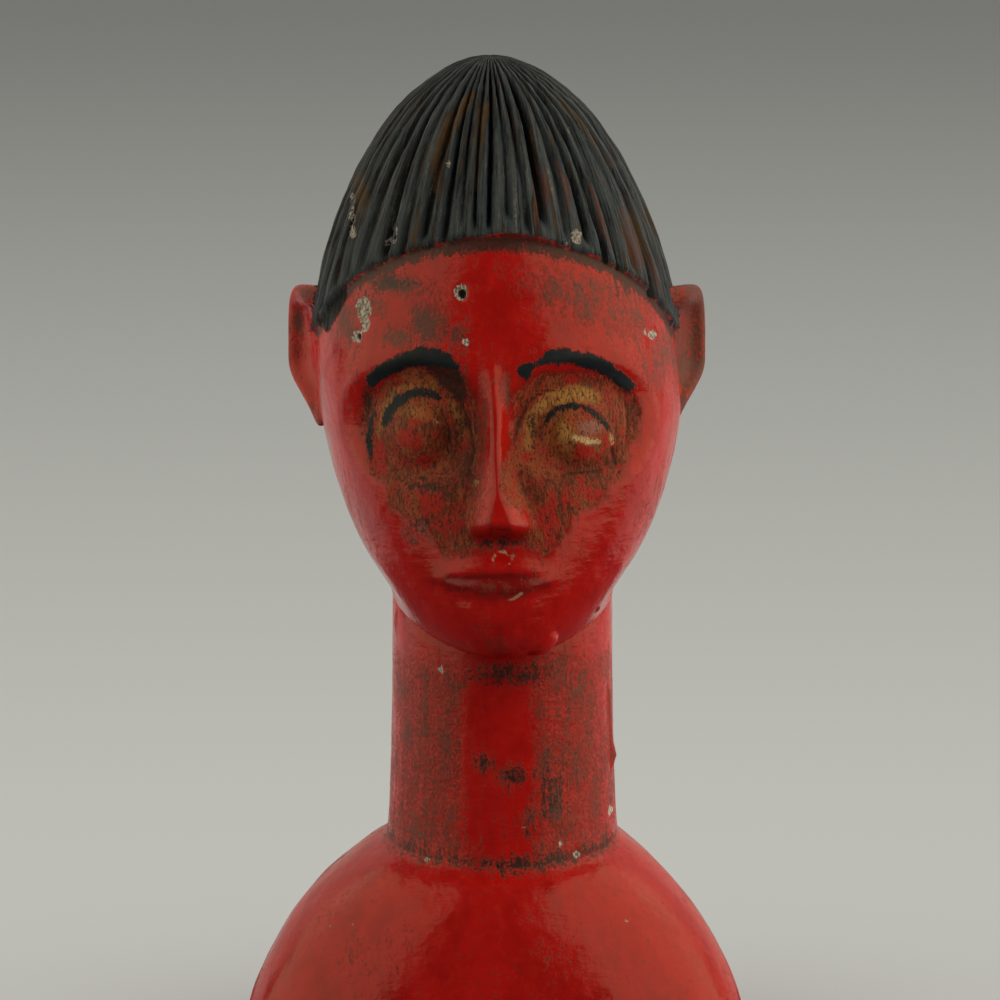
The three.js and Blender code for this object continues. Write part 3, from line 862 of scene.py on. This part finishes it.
def mottle(size, detail=3.0, roughness=0.55, seed=0.0, at=None):
    """Noise from 0 to 1 over the surface, with spots of the size in mm along x, y and z."""
    scale = tuple(1 / (MM * length) for length in size)
    mapping = node("ShaderNodeMapping", {"Vector": at or place, "Scale": scale, "Location": (seed,) * 3})
    inputs = {"Vector": mapping.outputs[0], "Scale": 1.0, "Detail": detail, "Roughness": roughness}
    return node("ShaderNodeTexNoise", inputs).outputs["Fac"]


def compute(operation, first, second=0.0, third=0.0):
    return node("ShaderNodeMath", {0: first, 1: second, 2: third}, operation=operation).outputs[0]


def edge(value, low, high):
    """0 below the low value, 1 above the high one."""
    inputs = {"Value": value, "From Min": low, "From Max": high}
    return node("ShaderNodeMapRange", inputs, interpolation_type="SMOOTHSTEP").outputs[0]


def frayed(value, pattern, amount, width):
    """A mask that is 1 inside a field, with its edge broken up by a pattern."""
    shifted = compute("MULTIPLY_ADD", compute("SUBTRACT", pattern, 0.5), amount, value)
    return edge(shifted, -width, width)


def over(mask, below, above, amount=None):
    """One colour over another, by the mask times the amount. Colours are linear red, green and blue."""
    if amount is not None:
        mask = compute("MULTIPLY", mask, amount)
    colours = [c if isinstance(c, bpy.types.NodeSocket) else (*c, 1) for c in (below, above)]
    inputs = {0: mask, 6: colours[0], 7: colours[1]}
    return node("ShaderNodeMix", inputs, data_type="RGBA").outputs[2]


def between(mask, low, high):
    return node("ShaderNodeMix", {0: mask, 2: low, 3: high}).outputs[0]


place = node("ShaderNodeTexCoord").outputs["Object"]
long_grain = mottle((0.4, 0.4, 1.5), 5, 0.62)
fine_grain = mottle((0.2, 0.2, 0.5), 3, 0.6, 4)
specks = mottle((0.42, 0.42, 0.6), 4, 0.7, 2)
blotches = mottle((5, 5, 7), 5, 0.62, 7)
smears = mottle((1.6, 1.6, 2.4), 4, 0.6, 11)
streaks = mottle((0.9, 0.9, 9), 4, 0.6, 3)

WOOD_BROWN = (0.44, 0.085, 0.026)
WOOD_DARK = (0.15, 0.022, 0.009)
WOOD_PIT = (0.02, 0.008, 0.005)
WOOD_PALE = (0.62, 0.25, 0.11)
WOOD_RED = (0.5, 0.022, 0.011)
OCHRE = (0.6, 0.29, 0.07)
CREAM = (0.85, 0.6, 0.3)
MAUVE = (0.45, 0.17, 0.13)
EYE_RED = (0.56, 0.015, 0.008)
grain_bands = compute("MULTIPLY_ADD", blotches, 0.5, compute("MULTIPLY", long_grain, 0.5))
wood = over(edge(grain_bands, 0.42, 0.56), WOOD_DARK, WOOD_BROWN)
wood = over(edge(smears, 0.46, 0.62), wood, WOOD_RED, 0.7)
wood = over(edge(fine_grain, 0.58, 0.7), wood, WOOD_PALE, 0.45)
wood = over(field("ochre"), wood, OCHRE, edge(long_grain, 0.34, 0.52))
wood = over(edge(field("mauve"), 0.3, 0.7), wood, MAUVE, 0.85)
red_left = frayed(compute("SUBTRACT", field("eye_red"), 0.62), smears, 1.8, 0.2)
wood = over(red_left, wood, EYE_RED, 0.85)
wood = over(frayed(field("cream"), specks, 3.2, 0.15), wood, CREAM)
wood = over(edge(specks, 0.53, 0.62), wood, WOOD_PIT, 0.8)
wood = over(frayed(field("eye_lines"), fine_grain, 0.8, 0.15), wood, WOOD_PIT, 0.85)

RED = (0.6, 0.006, 0.003)
DEEP_RED = (0.45, 0.0045, 0.0022)
BRIGHT_RED = (0.72, 0.02, 0.008)
# The darker red of the painted shade across the mouth.
MOUTH_SHADE_RED = (0.2, 0.003, 0.0015)
enamel = over(edge(blotches, 0.3, 0.6), DEEP_RED, RED)
enamel = over(edge(smears, 0.5, 0.7), enamel, BRIGHT_RED, 0.3)
# The painted shade across the mouth, in darker red.
enamel = over(frayed(field("mouth_shade_paint"), smears, 1.2, 0.35), enamel, MOUTH_SHADE_RED, 0.8)

# The brown film is dirt, and also painted shade under the nose, on the mouth and under the chin.
DIRT_AND_SHADE_FILM = (0.25, 0.04, 0.024)
DIRT_AND_SHADE_THICK = (0.11, 0.042, 0.032)
DIRT_SPOT = (0.06, 0.014, 0.009)
# The darkest colour: soot, and the painted shade in the sockets, under the nose and at the throat.
SOOT_AND_SHADE = (0.03, 0.011, 0.008)
spots = edge(specks, 0.38, 0.62)
grime_pattern = compute("MULTIPLY_ADD", spots, 0.45, compute("MULTIPLY", edge(blotches, 0.3, 0.7), 0.25))
grime_pattern = compute("MULTIPLY_ADD", edge(streaks, 0.35, 0.65), 0.3, grime_pattern)
grime_and_shade_mask = frayed(compute("SUBTRACT", field("grime_and_shade"), 0.68), grime_pattern, 1.3, 0.35)
thick = frayed(compute("SUBTRACT", field("grime_and_shade"), 1.02), grime_pattern, 1.35, 0.25)
# Dirt and painted shade, laid on as one brown film.
enamel = over(grime_and_shade_mask, enamel, DIRT_AND_SHADE_FILM, 0.72)
enamel = over(thick, enamel, DIRT_AND_SHADE_THICK, 0.75)
enamel = over(compute("MULTIPLY", grime_and_shade_mask, edge(specks, 0.54, 0.62)), enamel, DIRT_SPOT, 0.5)

THIN_PAINT = (0.15, 0.012, 0.006)
wear_pattern = compute("MULTIPLY_ADD", long_grain, 0.6, compute("MULTIPLY", specks, 0.4))
wood_mask = frayed(field("bare_wood"), wear_pattern, 7, 0.25)
thin_paint = frayed(compute("ADD", field("bare_wood"), 0.7), wear_pattern, 6, 0.6)
enamel = over(thin_paint, enamel, THIN_PAINT, 0.55)
colour = over(wood_mask, enamel, wood)
# Soot and painted shade, laid on in one dark colour.
soot_and_shade_mask = frayed(compute("SUBTRACT", field("soot_and_shade"), 0.6), grime_pattern, 1.3, 0.25)
colour = over(soot_and_shade_mask, colour, SOOT_AND_SHADE, 0.85)

BLACK = (0.004, 0.009, 0.014)
black_mask = frayed(field("black_paint"), specks, 1.8, 0.16)
colour = over(black_mask, colour, BLACK)

# Strands of hair follow the locks, so their pattern is laid out by direction from the crown's axis.
HAIR_SLATE = (0.06, 0.078, 0.096)
HAIR_GROOVE = (0.004, 0.006, 0.008)
HAIR_PALE = (0.3, 0.27, 0.23)
HAIR_OCHRE = (0.2, 0.1, 0.03)
HAIR_RED = (0.22, 0.07, 0.055)
STRAND_CIRCLE = 30


def vector(operation, first, second=(0, 0, 0)):
    return node("ShaderNodeVectorMath", {0: first, 1: second}, operation=operation).outputs[0]


from_axis = vector("MULTIPLY", vector("SUBTRACT", place, (0, CROWN_BACK * MM, 0)), (1, 1, 0))
around = vector("MULTIPLY", vector("NORMALIZE", from_axis), (STRAND_CIRCLE * MM,) * 3)
along_locks = vector("ADD", around, vector("MULTIPLY", place, (0, 0, 1)))
strands = mottle((0.8, 0.8, 11), 6, 0.78, 9, at=along_locks)
broad_strands = mottle((1.6, 1.6, 16), 3, 0.6, 17, at=along_locks)
lock_ridge = compute("ADD", field("hair_ridge"), compute("MULTIPLY_ADD", broad_strands, 1.6, -0.8))
hair_colour = over(edge(lock_ridge, 0.15, 0.8), HAIR_GROOVE, HAIR_SLATE)
worn = compute("SUBTRACT", 1.0, compute("MULTIPLY", field("untouched_hair"), 0.8))
dark_strands = compute("MULTIPLY", edge(strands, 0.5, 0.56), worn)
hair_colour = over(dark_strands, hair_colour, HAIR_GROOVE, 0.85)
pale_strands = compute("MULTIPLY", edge(strands, 0.42, 0.36), edge(specks, 0.4, 0.55))
hair_colour = over(compute("MULTIPLY", pale_strands, worn), hair_colour, HAIR_PALE, 0.8)
ochre_wear = frayed(compute("SUBTRACT", field("hair_wear"), 0.7), strands, 4, 0.25)
hair_colour = over(ochre_wear, hair_colour, HAIR_OCHRE, 0.65)
red_wear = frayed(compute("SUBTRACT", field("hair_red"), 0.62), strands, 4.5, 0.3)
hair_colour = over(red_wear, hair_colour, HAIR_RED, 0.55)
hair_mask = frayed(field("hair_paint"), specks, 1.1, 0.2)
colour = over(hair_mask, colour, hair_colour)

WHITE_GROUND = (0.85, 0.8, 0.74)
GROUND_SHADE = (0.2, 0.13, 0.09)
SCRATCHED = (0.6, 0.42, 0.28)
PIT_BOTTOM = (0.008, 0.006, 0.005)
ground = over(edge(specks, 0.4, 0.6), GROUND_SHADE, WHITE_GROUND)
chip_mask = frayed(field("chips"), specks, 0.9, 0.1)
colour = over(chip_mask, colour, ground)
scratch_mask = compute("MULTIPLY", edge(field("scratches"), -0.08, 0.08), edge(fine_grain, 0.36, 0.46))
colour = over(scratch_mask, colour, SCRATCHED, 0.85)
colour = over(edge(field("pits"), 0.0, 0.2), colour, PIT_BOTTOM)
tree.links.new(colour, shader.inputs["Base Color"])

ENAMEL_ROUGHNESS = (0.16, 0.26)
DIRT_ROUGHNESS = 0.42
WOOD_ROUGHNESS = 0.62
BLACK_ROUGHNESS = 0.6
HAIR_ROUGHNESS = (0.38, 0.85)
GROUND_ROUGHNESS = 0.8
roughness = between(edge(blotches, 0.35, 0.7), *ENAMEL_ROUGHNESS)
roughness = between(grime_and_shade_mask, roughness, DIRT_ROUGHNESS)
roughness = between(wood_mask, roughness, WOOD_ROUGHNESS)
roughness = between(black_mask, roughness, BLACK_ROUGHNESS)
roughness = between(hair_mask, roughness, between(edge(strands, 0.45, 0.55), *HAIR_ROUGHNESS))
roughness = between(chip_mask, roughness, GROUND_ROUGHNESS)
tree.links.new(roughness, shader.inputs["Roughness"])

ripple = mottle((2.4, 2.4, 1.8), 3, 0.5, 5)
brush_marks = mottle((5, 5, 0.9), 3, 0.6, 8)
pimples = mottle((0.8, 0.8, 0.7), 2, 0.5, 6)
height = compute("MULTIPLY_ADD", ripple, 0.11, compute("MULTIPLY", pimples, 0.018))
height = compute("MULTIPLY_ADD", brush_marks, 0.05, height)
height = compute("MULTIPLY_ADD", compute("MULTIPLY", specks, grime_and_shade_mask), 0.05, height)
open_grain = compute("MULTIPLY_ADD", long_grain, 0.24, compute("MULTIPLY", specks, -0.12))
height = between(wood_mask, height, open_grain)
height = between(hair_mask, height, compute("MULTIPLY", strands, -1.3))
height = compute("MULTIPLY_ADD", black_mask, 0.06, height)
height = compute("MULTIPLY_ADD", chip_mask, compute("MULTIPLY_ADD", specks, 0.2, -0.2), height)
bump = node("ShaderNodeBump", {"Height": height, "Strength": 1.0, "Distance": MM})
tree.links.new(bump.outputs["Normal"], shader.inputs["Normal"])

mesh.materials.clear()
mesh.materials.append(finish)
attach(bust, "root")
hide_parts("carved_bust")


# The studio. The floor is painted pale near the bust and darker grey farther off, a painted falloff of
# light, and it fills the background. Its near part, and all that lies in front, is seen by the camera but
# sends no light back to the bust.
FLOOR_RADIUS = 14
FLOOR_RINGS = 60
FLOOR_SIDES = 96
FRONT_SPAN = math.radians(100)
NEAR_RADIUS = 0.26
ring_radii = [0] + [FLOOR_RADIUS * (step / FLOOR_RINGS) ** 2 for step in range(1, FLOOR_RINGS + 1)]
floor_rings = np.array(
    [
        [
            (radius * math.cos(turn), radius * math.sin(turn), 0)
            for turn in np.linspace(0, 2 * math.pi, FLOOR_SIDES, endpoint=False)
        ]
        for radius in ring_radii[1:]
    ]
)
floor_points = np.vstack([np.zeros((1, 3)), floor_rings.reshape(-1, 3)])
ring_index = 1 + np.arange(FLOOR_RINGS * FLOOR_SIDES).reshape(FLOOR_RINGS, FLOOR_SIDES)
beside = np.roll(ring_index, -1, axis=1)
floor_faces = np.stack([ring_index[:-1], ring_index[1:], beside[1:], beside[:-1]], -1).reshape(-1, 4)
floor_faces = floor_faces.tolist() + [(0, a, b) for a, b in zip(ring_index[0], beside[0])]
floor_parts = {"far_floor": [], "near_floor": []}
for face in floor_faces:
    middle = floor_points[list(face)].mean(axis=0)
    in_front = math.atan2(abs(middle[0]), -middle[1]) < FRONT_SPAN
    near = in_front or np.linalg.norm(middle) < NEAR_RADIUS
    floor_parts["near_floor" if near else "far_floor"].append(face)
lit_by_sun = bpy.data.collections.new("lit_by_floor_light")
for name, faces in floor_parts.items():
    floor_mesh = bpy.data.meshes.new(name)
    floor_mesh.from_pydata(floor_points.tolist(), [], faces)
    floor = bpy.data.objects.new(name, floor_mesh)
    floor.visible_glossy = name == "far_floor"
    floor.visible_diffuse = name == "far_floor"
    bpy.context.scene.collection.objects.link(floor)
    lit_by_sun.objects.link(floor)

# Painted light on the floor: pale paper near the bust, darker grey far off, standing for the light falling
# away.
PAPER_PAINTED_LIT = (0.84, 0.84, 0.77)
PAPER_PAINTED_DIM = (0.27, 0.268, 0.25)
FALL_PER_METRE = 3.0
FALL_END = 3.4
paper = bpy.data.materials.new("paper_with_painted_falloff")
paper.use_nodes = True
tree = paper.node_tree
paper_shader = tree.nodes["Principled BSDF"]
place = node("ShaderNodeTexCoord").outputs["Object"]
distance = node("ShaderNodeVectorMath", {0: place}, operation="LENGTH").outputs["Value"]
# The floor's colour darkens with distance from the bust, as a painted falloff of light.
painted_falloff = compute("LOGARITHM", compute("MULTIPLY_ADD", distance, FALL_PER_METRE, 1.0), math.e)
painted_falloff_colour = over(edge(painted_falloff, 0.0, FALL_END), PAPER_PAINTED_LIT, PAPER_PAINTED_DIM)
tree.links.new(painted_falloff_colour, paper_shader.inputs["Base Color"])
paper_shader.inputs["Roughness"].default_value = 0.9
paper_shader.inputs["Specular IOR Level"].default_value = 0.1
for name in floor_parts:
    bpy.data.meshes[name].materials.append(paper)


# Two large soft lights stand at the sides, so that the enamel shows pale sheets left and right of a
# deep red band, with a pale panel behind that shows along the edges. Each side has a fill light that
# makes no reflection. All of them light the bust alone, and a wide sun lights the floor alone.
AIM = Vector((0, 0, 0.08))
lit_by_softboxes = bpy.data.collections.new("lit_by_softboxes")
lit_by_softboxes.objects.link(bust)


def soft_light(name, place, size, brightness, colour, glossy=True):
    """An area light aimed at the mouth. The brightness is the radiance of its surface."""
    data = bpy.data.lights.new(name, "AREA")
    data.shape = "RECTANGLE"
    data.size, data.size_y = size
    data.energy = brightness * math.pi * size[0] * size[1]
    data.color = colour
    light = bpy.data.objects.new(name, data)
    light.location = place
    light.rotation_euler = (Vector(place) - AIM).to_track_quat("Z", "Y").to_euler()
    light.visible_camera = False
    light.visible_glossy = glossy
    light.light_linking.receiver_collection = lit_by_softboxes
    bpy.context.scene.collection.objects.link(light)


WARM = (1, 0.88, 0.56)
PALE = (1, 0.95, 0.88)
CREAMY = (1, 0.93, 0.76)
LEFT = (-0.7, -0.1, 0.4)
RIGHT = (0.7, -0.1, 0.4)
BEHIND = (0, 2.5, 1.3)
SOFTBOX_SIZE = (1.4, 1.05)
PANEL_SIZE = (6, 2.8)
soft_light("left_softbox", LEFT, SOFTBOX_SIZE, 0.72, WARM)
soft_light("right_softbox", RIGHT, SOFTBOX_SIZE, 0.88, WARM)
soft_light("left_fill", LEFT, SOFTBOX_SIZE, 0.8, PALE, glossy=False)
soft_light("right_fill", RIGHT, SOFTBOX_SIZE, 1.6, PALE, glossy=False)
soft_light("back_panel", BEHIND, PANEL_SIZE, 0.36, CREAMY)
SUN_STRENGTH = 2.3
SUN_SPREAD = math.radians(100)
SUN_TILT = math.radians(35)
sun_data = bpy.data.lights.new("floor_light", "SUN")
sun_data.energy = SUN_STRENGTH
sun_data.angle = SUN_SPREAD
floor_light = bpy.data.objects.new("floor_light", sun_data)
floor_light.rotation_euler = (SUN_TILT, 0, 0)
bpy.context.scene.collection.objects.link(floor_light)
floor_light.light_linking.receiver_collection = lit_by_sun

# The room around them is dark grey.
world = bpy.data.worlds.new("room")
world.use_nodes = True
room = world.node_tree.nodes["Background"]
room.inputs["Color"].default_value = (0.2, 0.2, 0.195, 1)
room.inputs["Strength"].default_value = 0.3
bpy.context.scene.world = world
bpy.context.scene.view_settings.view_transform = "Standard"
